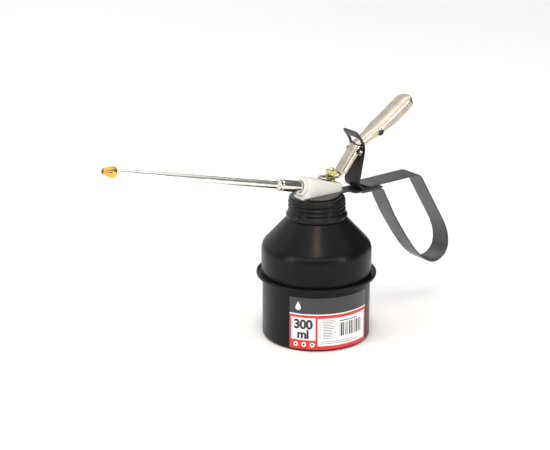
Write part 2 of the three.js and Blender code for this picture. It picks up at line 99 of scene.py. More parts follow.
def fillet(corners, closed=True):
    """Corners (x, y) or (x, y, radius) as a list of points, with each given radius as a true arc."""
    points = []
    count = len(corners)
    for i, corner in enumerate(corners):
        here = Vector(corner[:2])
        radius = corner[2] if len(corner) > 2 else 0
        if radius == 0 or (not closed and i in (0, count - 1)):
            points.append(here)
            continue
        before = Vector(corners[i - 1][:2]) - here
        after = Vector(corners[(i + 1) % count][:2]) - here
        before.normalize()
        after.normalize()
        half = before.angle(after) / 2
        reach = radius / math.tan(half)
        centre = here + (before + after).normalized() * (radius / math.sin(half))
        start = here + before * reach - centre
        turn = (here + after * reach - centre).angle_signed(start)
        small_steps = round(abs(turn) / (math.pi / 2) * CURVE_STEPS)
        steps = max(2, small_steps, round(abs(turn) * radius / ARC_STEP))
        for k in range(steps + 1):
            angle = turn * k / steps
            spin = Matrix.Rotation(angle, 2)
            points.append(centre + spin @ start)
    return points


def bezier(start, first, second, end, count=14):
    """Points along a cubic curve, without its start."""
    points = []
    for i in range(1, count + 1):
        t = i / count
        weights = ((1 - t) ** 3, 3 * t * (1 - t) ** 2, 3 * t * t * (1 - t), t ** 3)
        corners = (start, first, second, end)
        points.append(tuple(sum(w * c[axis] for w, c in zip(weights, corners)) for axis in (0, 1)))
    return points


def circle(x, y, radius, count=48):
    angles = [2 * math.pi * i / count for i in range(count)]
    return [Vector((x + radius * math.cos(a), y + radius * math.sin(a))) for a in angles]


def rounded_box(left, low, right, high, radius):
    return fillet([(left, low, radius), (right, low, radius), (right, high, radius), (left, high, radius)])


class Route:
    """A bent line in the XZ plane that a flat sheet or a section follows."""

    def __init__(self, corners):
        self.points = fillet(corners, closed=False)
        self.reach = [0.0]
        for a, b in zip(self.points, self.points[1:]):
            self.reach.append(self.reach[-1] + (b - a).length)
        self.length = self.reach[-1]

    def at(self, s):
        """The point at a distance along the route, and the direction to its left."""
        s = min(max(s, 0.0), self.length)
        i = next(k for k in range(1, len(self.reach)) if s <= self.reach[k] + 1e-9)
        a, b = self.points[i - 1], self.points[i]
        here = a.lerp(b, (s - self.reach[i - 1]) / (self.reach[i] - self.reach[i - 1]))
        along = self.direction(i - 1).lerp(self.direction(i), self.share(s, i)).normalized()
        return here, Vector((-along.y, along.x)), along

    def share(self, s, i):
        return (s - self.reach[i - 1]) / (self.reach[i] - self.reach[i - 1])

    def direction(self, corner):
        """The mean direction at a corner, which its two neighbouring stretches share."""
        corner = min(corner, len(self.points) - 1)
        before = self.points[corner] - self.points[max(corner - 1, 0)]
        after = self.points[min(corner + 1, len(self.points) - 1)] - self.points[corner]
        return (before.normalized() + after.normalized()).normalized()


# ---------------------------------------------------------------- pieces


def finish_piece(name, bm, material, body, nodes=(), sharp=35):
    """Turns a bmesh in millimetres into a smooth-shaded piece that rides on a body."""
    bmesh.ops.remove_doubles(bm, verts=bm.verts, dist=1e-4)
    bmesh.ops.dissolve_degenerate(bm, edges=bm.edges, dist=1e-5)
    bmesh.ops.recalc_face_normals(bm, faces=bm.faces)
    bmesh.ops.scale(bm, vec=(MM, MM, MM), verts=bm.verts)
    mesh = bpy.data.meshes.new(name)
    bm.to_mesh(mesh)
    bm.free()
    mesh.polygons.foreach_set("use_smooth", [True] * len(mesh.polygons))
    mesh.set_sharp_from_angle(angle=math.radians(sharp))
    mesh.materials.append(material)
    obj = bpy.data.objects.new(name, mesh)
    bpy.context.scene.collection.objects.link(obj)
    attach(obj, body)
    if nodes:
        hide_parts(*nodes)
    return obj


def turned(outline, segments=SMALL, warp=None, placing=None):
    """A closed outline of (radius, height) turned about Z, moved by warp(vector) and then by a matrix."""
    bm = bmesh.new()
    rings = []
    for k in range(segments):
        angle = 2 * math.pi * k / segments
        ring = []
        for point in outline:
            place = Vector((point.x * math.cos(angle), point.x * math.sin(angle), point.y))
            if warp:
                place = warp(place)
            ring.append(bm.verts.new(placing @ place if placing else place))
        rings.append(ring)
    for k in range(segments):
        here, after = rings[k], rings[(k + 1) % segments]
        for i in range(len(outline)):
            n = (i + 1) % len(outline)
            bm.faces.new((here[i], after[i], after[n], here[n]))
    bmesh.ops.remove_doubles(bm, verts=bm.verts, dist=1e-4)
    return bm


def flat_sheet(loops, thickness, edge):
    """A flat sheet with rounded edges: the first loop is its outline, and the others are holes."""
    data = bpy.data.curves.new("flat", "CURVE")
    data.dimensions = "2D"
    data.fill_mode = "BOTH"
    data.extrude = thickness / 2 - edge
    data.bevel_depth = edge
    data.bevel_resolution = 2
    data.offset = -edge
    for loop in loops:
        spline = data.splines.new("POLY")
        spline.points.add(len(loop) - 1)
        for point, place in zip(spline.points, loop):
            point.co = (place.x, place.y, 0, 1)
        spline.use_cyclic_u = True
    return bmesh_of(data)


def bmesh_of(curve):
    """A curve or text as a bmesh; the curve itself is thrown away."""
    holder = bpy.data.objects.new("holder", curve)
    bpy.context.scene.collection.objects.link(holder)
    bpy.context.view_layer.update()
    mesh = bpy.data.meshes.new_from_object(holder.evaluated_get(bpy.context.evaluated_depsgraph_get()))
    bm = bmesh.new()
    bm.from_mesh(mesh)
    bpy.data.objects.remove(holder)
    bpy.data.curves.remove(curve)
    bpy.data.meshes.remove(mesh)
    bmesh.ops.remove_doubles(bm, verts=bm.verts, dist=1e-4)
    return bm


def sliced(bm, places):
    """Cuts the faces across X, so that they can follow a bend."""
    for x in places:
        everything = bm.verts[:] + bm.edges[:] + bm.faces[:]
        bmesh.ops.bisect_plane(bm, geom=everything, plane_co=(x, 0, 0), plane_no=(1, 0, 0))
    return bm


def bent(bm, route):
    """Lays a flat sheet, drawn as (distance, width), along a route in the XZ plane."""
    sliced(bm, route.reach[1:-1])
    for vert in bm.verts:
        place, left, along = route.at(vert.co.x)
        beyond = min(vert.co.x, 0) + max(vert.co.x - route.length, 0)
        point = place + left * vert.co.z + along * beyond
        vert.co = (point.x, vert.co.y, point.y)
    return bm


def cut(obj, *tools):
    """Cuts other objects out of a piece, and throws them away."""
    for tool in tools:
        modifier = obj.modifiers.new("cut", "BOOLEAN")
        modifier.object = tool
        modifier.solver = "EXACT"
        modifier.operation = "DIFFERENCE"
    bpy.context.view_layer.update()
    result = bpy.data.meshes.new_from_object(obj.evaluated_get(bpy.context.evaluated_depsgraph_get()))
    obj.modifiers.clear()
    obj.data = result
    for tool in tools:
        bpy.data.objects.remove(tool)


def cutter(bm):
    """An object, in metres, that cut() takes out of a piece."""
    bmesh.ops.recalc_face_normals(bm, faces=bm.faces)
    bmesh.ops.scale(bm, vec=(MM, MM, MM), verts=bm.verts)
    mesh = bpy.data.meshes.new("cutter")
    bm.to_mesh(mesh)
    bm.free()
    obj = bpy.data.objects.new("cutter", mesh)
    bpy.context.scene.collection.objects.link(obj)
    return obj


def crosswise(place):
    """The matrix that lays a turned piece along Y, through a place."""
    return Matrix.Translation(place) @ Matrix.Rotation(math.radians(90), 4, "X")


def hole(radius, reach=12):
    """The outline of a round cutter that reaches as far each way."""
    return fillet([(0, -reach), (radius, -reach), (radius, reach), (0, reach)])


# ---------------------------------------------------------------- materials


class Nodes:
    """A short way to write a node material."""

    def __init__(self, name):
        self.material = bpy.data.materials.new(name)
        self.material.use_nodes = True
        self.tree = self.material.node_tree
        self.shader = self.tree.nodes["Principled BSDF"]
        self.place = self.tree.nodes.new("ShaderNodeTexCoord").outputs["Object"]

    def add(self, kind, **values):
        node = self.tree.nodes.new(kind)
        for key, value in values.items():
            name = key.replace("_", " ").title()
            if name in node.inputs:
                node.inputs[name].default_value = value
            else:
                setattr(node, key, value)
        return node

    def link(self, source, target):
        self.tree.links.new(source, target)

    def stretched(self, scale, turn=0.0):
        mapping = self.add("ShaderNodeMapping")
        mapping.inputs["Rotation"].default_value = (0, turn, 0)
        mapping.inputs["Scale"].default_value = scale
        self.link(self.place, mapping.inputs["Vector"])
        return mapping.outputs["Vector"]

    def noise(self, scale, detail=3.0, vector=None):
        node = self.add("ShaderNodeTexNoise", scale=scale, detail=detail)
        self.link(vector or self.place, node.inputs["Vector"])
        return node.outputs["Fac"]

    def spread(self, source, low, high):
        """Noise, which stays near its middle, spread over a range."""
        node = self.add("ShaderNodeMapRange", from_min=0.3, from_max=0.7, to_min=low, to_max=high)
        self.link(source, node.inputs["Value"])
        return node.outputs["Result"]

    def two_colours(self, source, first, second):
        node = self.add("ShaderNodeValToRGB")
        node.color_ramp.elements[0].position = 0.35
        node.color_ramp.elements[1].position = 0.65
        node.color_ramp.elements[0].color = (*first, 1)
        node.color_ramp.elements[1].color = (*second, 1)
        self.link(source, node.inputs["Fac"])
        self.link(node.outputs["Color"], self.shader.inputs["Base Color"])

    def bumps(self, *layers):
        """Each layer is a height and the distance, in millimetres, that it stands."""
        normal = None
        for height, distance in layers:
            node = self.add("ShaderNodeBump", strength=1.0, distance=distance * MM)
            self.link(height, node.inputs["Height"])
            if normal:
                self.link(normal, node.inputs["Normal"])
            normal = node.outputs["Normal"]
        self.link(normal, self.shader.inputs["Normal"])

    def set(self, **values):
        for key, value in values.items():
            socket = key.replace("_", " ").title().replace("Ior", "IOR")
            self.shader.inputs[socket].default_value = value


def paint(name, dark, light, rough, shine=0.2, peel=0.004):
    """Black paint on pressed steel, with a faint orange peel and dust."""
    n = Nodes(name)
    broad = n.noise(60, 2)
    n.two_colours(n.noise(420, 4), dark, light)
    n.link(n.spread(broad, *rough), n.shader.inputs["Roughness"])
    n.bumps((n.noise(900, 2), peel), (n.noise(70, 1), 0.03))
    n.set(specular_ior_level=shine)
    return n.material


def metal(name, first, second, rough, grain=(1, 1, 1), turn=0.0, grain_scale=900, depth=0.003,
          waviness=0.02):
    """Plated or turned metal, whose grain follows the piece."""
    n = Nodes(name)
    lines = n.noise(grain_scale, 4, n.stretched(grain, turn))
    n.two_colours(n.noise(140, 3), first, second)
    n.link(n.spread(lines, *rough), n.shader.inputs["Roughness"])
    n.bumps((lines, depth), (n.noise(55, 1), waviness))
    n.set(metallic=1.0)
    return n.material


def plastic(name, first, second, rough, subsurface=0.0, grain=700, depth=0.006):
    n = Nodes(name)
    n.two_colours(n.noise(90, 3), first, second)
    n.link(n.spread(n.noise(260, 3), *rough), n.shader.inputs["Roughness"])
    n.bumps((n.noise(grain, 3), depth), (n.noise(80, 1), 0.02))
    n.set(subsurface_weight=subsurface, subsurface_scale=0.002)
    return n.material


def print_ink(name, first, second, gloss=0.3):
    """Ink on a sticker, with a faint dot screen under a film."""
    n = Nodes(name)
    n.two_colours(n.noise(1500, 2), first, second)
    n.link(n.spread(n.noise(120, 2), gloss - 0.05, gloss + 0.08), n.shader.inputs["Roughness"])
    n.bumps((n.noise(160, 2), 0.01))
    n.set(coat_weight=0.3, coat_roughness=0.15)
    return n.material


SPOUT_TURN = math.atan2(SPOUT_AXIS.z, -SPOUT_AXIS.x)
CAN_PAINT = paint("can_paint", (0.003, 0.003, 0.003), (0.005, 0.005, 0.005), (0.26, 0.36),
                  shine=0.16)
CAP_PAINT = paint("cap_paint", (0.004, 0.004, 0.004), (0.006, 0.006, 0.006), (0.24, 0.34))
STRAP_PAINT = paint("strap_paint", (0.020, 0.020, 0.020), (0.028, 0.028, 0.028), (0.32, 0.42),
                    shine=0.8, peel=0.006)
# The bracket has the same black paint as the strap, here made much darker as painted shade, for the shade
# it stands in under the lever
BRACKET_SHADED_PAINT = paint("bracket_painted_shade", (0.006, 0.006, 0.006), (0.010, 0.010, 0.010), (0.3, 0.4),
                      shine=0.35, peel=0.006)
NYLON = plastic("nylon", (0.64, 0.64, 0.60), (0.70, 0.70, 0.66), (0.38, 0.5), subsurface=0.2)
LEVER_NICKEL = metal("lever_nickel", (0.43, 0.385, 0.30), (0.52, 0.475, 0.385), (0.1, 0.2), depth=0.0015)
CHROME = metal("chrome", (0.66, 0.65, 0.60), (0.74, 0.73, 0.69), (0.1, 0.2), depth=0.0015)
SPOUT_NICKEL = metal("spout_nickel", (0.82, 0.815, 0.77), (0.88, 0.875, 0.83), (0.2, 0.3),
                     grain=(0.03, 1, 1), turn=SPOUT_TURN, depth=0.0012)
BRASS = metal("brass", (0.72, 0.42, 0.09), (0.85, 0.55, 0.16), (0.16, 0.28),
              grain=(1, 0.05, 0.05), turn=SPOUT_TURN, depth=0.003)
ZINC = metal("yellow_zinc", (0.40, 0.37, 0.11), (0.66, 0.62, 0.28), (0.12, 0.24),
             grain_scale=500, depth=0.002)
STEEL = metal("steel", (0.48, 0.48, 0.47), (0.6, 0.6, 0.59), (0.25, 0.4), depth=0.003)
RUBBER = plastic("rubber", (0.015, 0.015, 0.015), (0.028, 0.028, 0.028), (0.6, 0.8))
TUBE_PLASTIC = plastic("tube_plastic", (0.72, 0.72, 0.66), (0.8, 0.8, 0.74), (0.35, 0.5), subsurface=0.3)
INK_RED = print_ink("ink_red", (0.62, 0.010, 0.012), (0.70, 0.016, 0.018))
INK_WHITE = print_ink("ink_white", (0.80, 0.80, 0.80), (0.86, 0.86, 0.86))
INK_GREY = print_ink("ink_grey", (0.016, 0.018, 0.019), (0.022, 0.025, 0.026))
INK_BLACK = print_ink("ink_black", (0.012, 0.012, 0.012), (0.02, 0.02, 0.02))
INK_PALE = print_ink("ink_pale", (0.1, 0.1, 0.105), (0.14, 0.14, 0.145))

# ---------------------------------------------------------------- the can

SHEET = 0.7
CAN_RADIUS = 36.5
SHELL_RADIUS = 37.2
BEAD_RADIUS = CUP_HIGH.x
BEAD_TOP = CUP_HIGH.z
CONE_RISE = 1.08
SHOULDER_BEND = 64.6
NECK_RADIUS = 17.8
THREAD_PITCH = 3.0
THREAD_DEPTH = 0.5


def thread(radius, low, high, fade=0.8):
    """Rolls a right-hand thread into a wall near a radius."""
    def warp(place):
        reach = math.hypot(place.x, place.y)
        if abs(reach - radius) > 1 or not low <= place.z <= high:
            return place
        angle = math.atan2(place.y, place.x)
        ease = min(1.0, (place.z - low) / fade, (high - place.z) / fade)
        wave = THREAD_DEPTH * ease * math.cos(2 * math.pi * place.z / THREAD_PITCH - angle)
        grow = (reach + wave) / reach
        return Vector((place.x * grow, place.y * grow, place.z))
    return warp


def rows(radius, low, high, step=0.25):
    count = round((high - low) / step)
    return [(radius, low + (high - low) * i / count) for i in range(count + 1)]


def build_cup():
    lip = BEAD_RADIUS
    outline = fillet([
        (0, 0), (25.6, 0, 1), (27, 0.8, 1), (31, 0.8, 1), (32.4, 0, 1), (CAN_RADIUS, 0, 2.4),
        (CAN_RADIUS, 42.2, 1.1), (lip, 43.0, 0.9), (lip, BEAD_TOP, 0.6), (lip - 1.5, BEAD_TOP, 0.6),
        (lip - 1.9, 44.5, 0.4), (37.0, 44.5, 0.2), (37.0, 43.1, 0.2), (CAN_RADIUS - SHEET, 42.6, 1),
        (CAN_RADIUS - SHEET, SHEET, 1.8), (0, SHEET)])
    finish_piece("cup", turned(outline, ROUND), CAN_PAINT, "can", ["can_cup"])


def build_shoulder():
    neck_low = 85.6
    cone_top = SHOULDER_BEND + CONE_RISE * (SHELL_RADIUS - NECK_RADIUS - 0.9)
    outer = [(SHELL_RADIUS, 43.4), (SHELL_RADIUS, SHOULDER_BEND, 9), (NECK_RADIUS + 0.9, cone_top, 1.2),
             (NECK_RADIUS, neck_low, 0.8)]
    inner = [(NECK_RADIUS - SHEET, neck_low, 0.8), (NECK_RADIUS + 0.3, cone_top - 0.7, 1.2),
             (SHELL_RADIUS - SHEET, SHOULDER_BEND - 0.45, 8.3), (SHELL_RADIUS - SHEET, 43.4)]
    outline = fillet(outer + rows(NECK_RADIUS, neck_low + 0.6, NECK_TOP)
                     + rows(NECK_RADIUS - SHEET, neck_low + 0.6, NECK_TOP)[::-1] + inner)
    bm = turned(outline, ROUND, thread(NECK_RADIUS - SHEET / 2, neck_low + 0.5, NECK_TOP + 1))
    finish_piece("shoulder", bm, CAN_PAINT, "can", ["can_shoulder"])


def build_cap():
    wall = 18.9
    sheet = 0.6
    rim = CAP_HIGH.x - 0.05
    low, high = CAP_LOW.z, CAP_HIGH.z
    outer = [(rim - 0.5, low, 0.25), (rim, low, 0.3), (rim, low + 1.9, 0.5), (wall, low + 3.1, 0.7)]
    inner = [(wall - sheet, high - sheet, 1.4), (0, high - sheet)]
    back = [(wall - sheet, low + 3.3, 0.7), (rim - 0.5, low + 2.0, 0.5)]
    outline = fillet([(0, high), (wall, high, 1.9)] + rows(wall, low + 3.4, high - 2.2)[::-1] + outer[::-1]
                     + back[::-1] + rows(wall - sheet, low + 3.4, high - 2.2) + inner)
    bm = turned(outline, ROUND, thread(wall - sheet / 2, low + 3.3, high - 2.0))
    finish_piece("cap", bm, CAP_PAINT, "head", ["screw_cap"])


build_cup()
build_shoulder()
build_cap()

# ---------------------------------------------------------------- the label, drawn flat, then laid round

LABEL_LEFT = math.radians(-156)
LABEL_WIDTH = 58.6
LABEL_BASE = 1.9
LABEL_HEIGHT = 36.3
FILM = 0.12                  # thickness of the sticker
INK = 0.02                   # how far each layer of print stands on the last


def round_the_can(bm, layer, thickness):
    """Lays a flat shape, drawn as (distance from the label's left, height), on the can."""
    edges = [LABEL_WIDTH * i / 60 for i in range(1, 60)]
    sliced(bm, edges)
    base = CAN_RADIUS + 0.01 + layer * INK
    for vert in bm.verts:
        radius = base + thickness / 2 + vert.co.z
        angle = LABEL_LEFT + vert.co.x / CAN_RADIUS
        height = LABEL_BASE + vert.co.y
        vert.co = (radius * math.cos(angle), radius * math.sin(angle), height)
    return bm


def printed(name, loops, material, layer, thickness=0.06, nodes=()):
    bm = round_the_can(flat_sheet(loops, thickness, 0.01), layer, thickness)
    finish_piece("label_" + name, bm, material, "can", nodes, sharp=60)


def lettering(name, words, x, y, size, layer):
    """Plain bold lettering, centred on a place on the label."""
    data = bpy.data.curves.new("words", "FONT")
    data.body = words
    data.size = size
    data.align_x = "CENTER"
    data.align_y = "CENTER"
    data.offset = size * 0.045
    data.extrude = 0.03
    data.space_character = 0.95
    bm = bmesh_of(data)
    bmesh.ops.translate(bm, vec=(x, y, 0), verts=bm.verts)
    finish_piece("label_" + name, round_the_can(bm, layer, 0.06), INK_BLACK, "can", sharp=60)


def drop_icon(x, y, size):
    """A plain drop, round below and pointed above."""
    arc = [math.radians(a) for a in range(150, 391, 12)]
    round_part = [Vector((x + size * math.cos(a), y + size * math.sin(a))) for a in arc]
    return round_part + [Vector((x, y + 2.3 * size))]


def build_label():
    width, height = LABEL_WIDTH, LABEL_HEIGHT
    band = height * 0.69
    printed("film", [rounded_box(0, 0, width, height, 0.6)], INK_RED, 0, FILM, ["label"])
    printed("band", [rounded_box(-0.02, band, width + 0.02, height + 0.02, 0.6)], INK_GREY, 4)
    printed("rule", [rounded_box(0.05, band - 0.75, width - 0.05, band + 0.05, 0.05)], INK_WHITE, 5)
    printed("volume_panel", [rounded_box(1.3, 6.6, 17.9, 22.4, 0.3)], INK_WHITE, 5)
    printed("text_panel", [rounded_box(19.3, 2.6, 56.8, 22.0, 0.3)], INK_WHITE, 5)
    printed("drop", [drop_icon(6.2, band + 4.4, 1.9)], INK_WHITE, 6)
    lettering("volume", "300", 9.6, 17.4, 8.9, 6)
    lettering("unit", "ml", 9.6, 10.4, 8.4, 6)
    for i in range(3):
        x = 4.6 + 5.6 * i
        printed(f"icon_{i}", [circle(x, 3.4, 1.65)], INK_WHITE, 5)
        printed(f"icon_mark_{i}", [circle(x, 3.4, 0.75, 24)], INK_BLACK, 7)
    for i in range(12):
        y = 20.2 - 1.12 * i
        end = 32.5 - 4.0 * abs(math.sin(2.3 * i + 0.6))
        printed(f"line_{i}", [rounded_box(22.8, y, end, y + 0.42, 0.1)], INK_PALE, 6)
        printed(f"bullet_{i}", [rounded_box(21.0, y, 21.6, y + 0.42, 0.1)], INK_BLACK, 6)
    for i in range(2):
        y = 4.0 + 1.3 * i
        printed(f"foot_line_{i}", [rounded_box(21.0, y, 50 - 5 * i, y + 0.4, 0.1)], INK_PALE, 6)
    x = 34.5
    for i in range(15):
        bar = (0.35, 0.8, 0.5, 1.2, 0.4)[(i * 3) % 5]
        printed(f"bar_{i}", [rounded_box(x, 8.6, x + bar, 18.2, 0.05)], INK_BLACK, 6)
        x += bar + (0.55, 0.4, 0.9)[i % 3]
    printed("code_rule", [rounded_box(34.5, 19.2, 48.5, 19.9, 0.1)], INK_BLACK, 6)


build_label()

# ---------------------------------------------------------------- plate, bracket and strap, bent from sheet

EDGE = 0.28                  # rounding of a sheared steel edge


def build_plate():
    level = PLATE_HIGH.z - STRIP / 2
    drop = PLATE_LOW.z + STRIP / 2 + 0.1
    disc = -PLATE_LOW.x
    route = Route([(-disc, level), (20.5, level, 2.5), (27.3, drop, 2.5), (PLATE_HIGH.x, drop)])
    arc = [math.radians(a) for a in range(-148, -32, 3)]
    near = [(disc + 15.3 * math.cos(a), 15.3 * math.sin(a)) for a in arc]
    tongue = [(disc + 16.5, -8.6, 3), (disc + 22, -STRIP_HALF, 3), (route.length, -STRIP_HALF, 1.5)]
    half = [(disc - 2.5, -5.2, 3), *near, *tongue]
    outline = fillet([*half, *[(c[0], -c[1], *c[2:]) for c in half[::-1]]])
    slot = rounded_box(disc + 20.6, -4.6, disc + 24.2, 4.6, 1.6)
    bm = bent(flat_sheet([outline, slot], STRIP, EDGE), route)
    finish_piece("plate", bm, STRAP_PAINT, "head", ["mounting_plate"])


def build_bracket():
    foot = BRACKET_LOW.z + STRIP / 2 + 0.2
    route = Route([(BRACKET_HIGH.x, foot), (28.9, foot, 5), (34.8, 128.2, 12), (26.9, BRACKET_HIGH.z)])
    top = route.length - 0.3
    half = STRIP_HALF
    sill = route.length - 20.2
    arch = top - 6.2
    outline = fillet([(0, -half, 1), (top, -half, 2.6), (top, half, 2.6), (0, half, 1)])
    window = rounded_box(sill, -5.5, arch, 5.5, 1.8)
    bm = bent(flat_sheet([outline, window], STRIP, EDGE), route)
    bracket = finish_piece("bracket", bm, BRACKET_SHADED_PAINT, "head", ["upright_bracket"])
    for side, name in ((-1, "near"), (1, "far")):
        ear = flat_sheet([fillet([(FULCRUM.x - 2, FULCRUM.z - 2, 1.95), (FULCRUM.x + 2, FULCRUM.z - 2.1),
                                  (FULCRUM.x + 2, FULCRUM.z + 2), (FULCRUM.x - 2, FULCRUM.z + 2, 1.95)])],
                         STRIP, EDGE)
        for vert in ear.verts:
            vert.co = (vert.co.x, side * (5.5 + STRIP / 2) + vert.co.z, vert.co.y)
        finish_piece("bracket_ear_" + name, ear, BRACKET_SHADED_PAINT, "head")
    return bracket


def build_strap():
    top = STRAP_HIGH.z - STRIP / 2
    low = 95.5
    right = STRAP_HIGH.x - STRIP / 2
    bottom = STRAP_LOW.z + STRIP / 2
    route = Route([
        (37.2, 99), (48, 99, 60), (78.3, top, 60), (83.6, top + 0.1, 6.5), (106.5, 61.5),
        *bezier((106.5, 61.5), (110.2, 55), (right, 50), (right, 44.6)),
        *bezier((right, 44.6), (right, 37), (106, bottom), (99.8, bottom)),
        *bezier((99.8, bottom), (93.5, bottom), (86, 39.5), (80.9, 45.4)),
        *bezier((80.9, 45.4), (76, 51), (64.5, 68.8), (60.6, 75.6)),
        (50.4, low, 4), (STRAP_LOW.x, low)])
    half = STRIP_HALF
    end = route.length
    outline = fillet([(0, -half, 4.2), (end, -half, 2), (end, half, 2), (0, half, 4.2)])
    strap = bent(flat_sheet([outline], STRIP, EDGE), route)
    finish_piece("strap", strap, STRAP_PAINT, "head", ["handle_strap"])


build_plate()
build_bracket()
build_strap()

# ---------------------------------------------------------------- the pump body


SPOUT_ROOT = Vector((-7.5, 0, 104.9))
BODY_FRONT = -14.2
BODY_EDGE = 1.1              # rounding round the top of the body
SOCKET_RADIUS = 4.15         # the bore that takes the spout's ferrule


def body_point(point, angle):
    """A point of the plan on the body's foot, where angle is None, or on the arc of its top edge."""
    low = PLATE_HIGH.z
    middle = (BODY_FRONT + BODY_HIGH.x) / 2
    shrink = BODY_EDGE * (1 - math.cos(angle)) if angle else 0
    x = middle + (point.x - middle) * (1 - shrink / 16)
    y = point.y * (1 - shrink / BODY_HIGH.y)
    height = low
    if angle is not None:
        height = 109.1 - 0.27 * x - BODY_EDGE + BODY_EDGE * math.sin(angle)
    nearness = min(max((PUMP_X - x) / (PUMP_X - BODY_FRONT), 0), 1)
    lean = (height - low) * math.tan(SPOUT_TURN) * nearness ** 4
    return Vector((x + lean, y, height))


def build_housing():
    half = BODY_HIGH.y
    rear = BODY_HIGH.x
    nose = 3.4
    heel = 4.2
    front = BODY_FRONT
    plan = fillet([(front, -half, nose), (rear, -half, heel), (rear, half, heel), (front, half, nose)])
    bm = bmesh.new()
    levels = []
    for angle in (None, 0.0, *[math.radians(a) for a in (22, 45, 68, 90)]):
        levels.append([bm.verts.new(body_point(point, angle)) for point in plan])
    count = len(plan)
    for below, above in zip(levels, levels[1:]):
        for i in range(count):
            n = (i + 1) % count
            bm.faces.new((below[i], below[n], above[n], above[i]))
    bm.faces.new(levels[-1])
    bm.faces.new(levels[0][::-1])
    return finish_piece("pump_housing", bm, NYLON, "head", ["pump_body"])


def build_pump_body():
    housing = build_housing()
    foot = flat_sheet([rounded_box(BODY_LOW.x, -4.9, -2.8, 4.9, 1.2)], 2.2, 0.3)
    bmesh.ops.translate(foot, vec=(0, 0, CAP_HIGH.z + 1.1), verts=foot.verts)
    finish_piece("pump_foot", foot, NYLON, "head")
    collar = fillet([(SOCKET_RADIUS, -1.2), (5.9, -1.2), (5.7, 1.3, 0.8), (SOCKET_RADIUS, 1.3, 0.2)])
    finish_piece("pump_collar", turned(collar, placing=spout_frame(5.6)), NYLON, "head")
    bore = fillet([(0, 90), (2.25, 90), (2.25, 104.3), (3.7, 104.3), (3.7, 120), (0, 120)])
    socket = fillet([(0, -0.4), (SOCKET_RADIUS, -0.4), (SOCKET_RADIUS, 20), (0, 20)])
    cut(housing, cutter(turned(bore, placing=Matrix.Translation((PUMP_X, 0, 0)))),
        cutter(turned(socket, placing=spout_frame(0))))


def spout_frame(distance):
    """The matrix that stands a turned piece on the spout's axis, at a distance from its root."""
    turn = Vector((0, 0, 1)).rotation_difference(SPOUT_AXIS).to_matrix().to_4x4()
    return Matrix.Translation(SPOUT_ROOT + SPOUT_AXIS * distance) @ turn


build_pump_body()

# ---------------------------------------------------------------- the spout

FERRULE = 3.85
TUBE = 2.5
TUBE_START = 12.0
TUBE_END = 151.7
NOZZLE_END = 160.1
COLLAR = 3.5


def build_spout():
    root = spout_frame(0)
    ferrule = fillet([
        (0.9, 0), (FERRULE, 0, 0.3),
        (FERRULE, 22.8, 0.4), (3.45, 23.1, 0.2), (3.45, 23.8, 0.2), (FERRULE, 24.1, 0.4),
        (FERRULE, 26.2, 0.8), (TUBE + 0.02, 26.2, 0.2),
        (TUBE + 0.02, 1.4), (0.9, 1.4)])
    finish_piece("ferrule", turned(ferrule, placing=root), CHROME, "head", ["spout_ferrule"])
    tube = fillet([(1.7, TUBE_START), (TUBE, TUBE_START), (TUBE, TUBE_END, 0.25), (1.7, TUBE_END, 0.2)])
    finish_piece("tube", turned(tube, placing=root), SPOUT_NICKEL, "head", ["spout_tube"])
    nozzle = fillet([
        (0.75, TUBE_END - 6), (1.4, TUBE_END - 6), (1.4, TUBE_END + 0.05),
        (COLLAR, TUBE_END + 0.05, 0.35), (COLLAR, TUBE_END + 3.1, 0.8),
        (1.9, NOZZLE_END, 0.3), (0.75, NOZZLE_END, 0.15)])
    finish_piece("nozzle", turned(nozzle, placing=root), BRASS, "head", ["nozzle_tip"])


build_spout()

# ---------------------------------------------------------------- rod, nut and pin


def build_rod():
    radius = 2.0
    pitch = 0.7
    thread_low = NUT_LOW.z - 9

    def groove(place):
        reach = math.hypot(place.x, place.y)
        if reach < 1.6 or place.z < thread_low or place.z > ROD_HIGH.z - 0.8:
            return place
        angle = math.atan2(place.y, place.x)
        grow = (reach - 0.14 + 0.14 * math.cos(2 * math.pi * place.z / pitch - angle)) / reach
        return Vector((place.x * grow, place.y * grow, place.z))

    outline = fillet([
        (0, ROD_LOW.z), (2.7, ROD_LOW.z, 0.4), (2.7, 63.2, 0.1), (radius, 63.2),
        *rows(radius, thread_low, ROD_HIGH.z - 0.6, 0.1),
        (1.5, ROD_HIGH.z, 0.1), (0, ROD_HIGH.z)])
    bm = turned(outline, 32, groove, Matrix.Translation((PUMP_X, 0, 0)))
    finish_piece("rod", bm, ZINC, "plunger", ["plunger_rod"])


def build_nut(name, radius, low, high, body):
    hexagon = [(p.x, p.y, 0.25) for p in circle(0, 0, radius, 6)]
    bm = flat_sheet([fillet(hexagon), circle(0, 0, 2.05)], high - low, 0.35)
    bmesh.ops.translate(bm, vec=(PUMP_X, 0, (low + high) / 2), verts=bm.verts)
    finish_piece(name + "_fine", bm, ZINC, body, [name], sharp=30)


def build_pin():
    end = PIN_HIGH.y
    outline = fillet([(0, -end), (0.9, -end, 0.2), (1.25, -end + 0.5, 0.2),
                      (1.25, end - 0.5, 0.2), (0.9, end, 0.2), (0, end)])
    finish_piece("pin", turned(outline, placing=crosswise(FULCRUM)), STEEL, "head", ["fulcrum_pin"])


build_rod()
build_nut("rod_nut", 4.04, NUT_LOW.z, NUT_HIGH.z, "plunger")
build_nut("gland_nut", 3.2, limits("gland_nut")[0].z, limits("gland_nut")[1].z, "head")
build_pin()

# ---------------------------------------------------------------- the lever, lofted along its bent back

LEVER_SHEET = 1.1
LEVER_END = LEVER_HIGH.x - 1.2
NOTCH = Vector((49.3, 0, 134.4))


def smooth_step(x, low, high):
    t = min(max((x - low) / (high - low), 0.0), 1.0)
    return t * t * (3 - 2 * t)


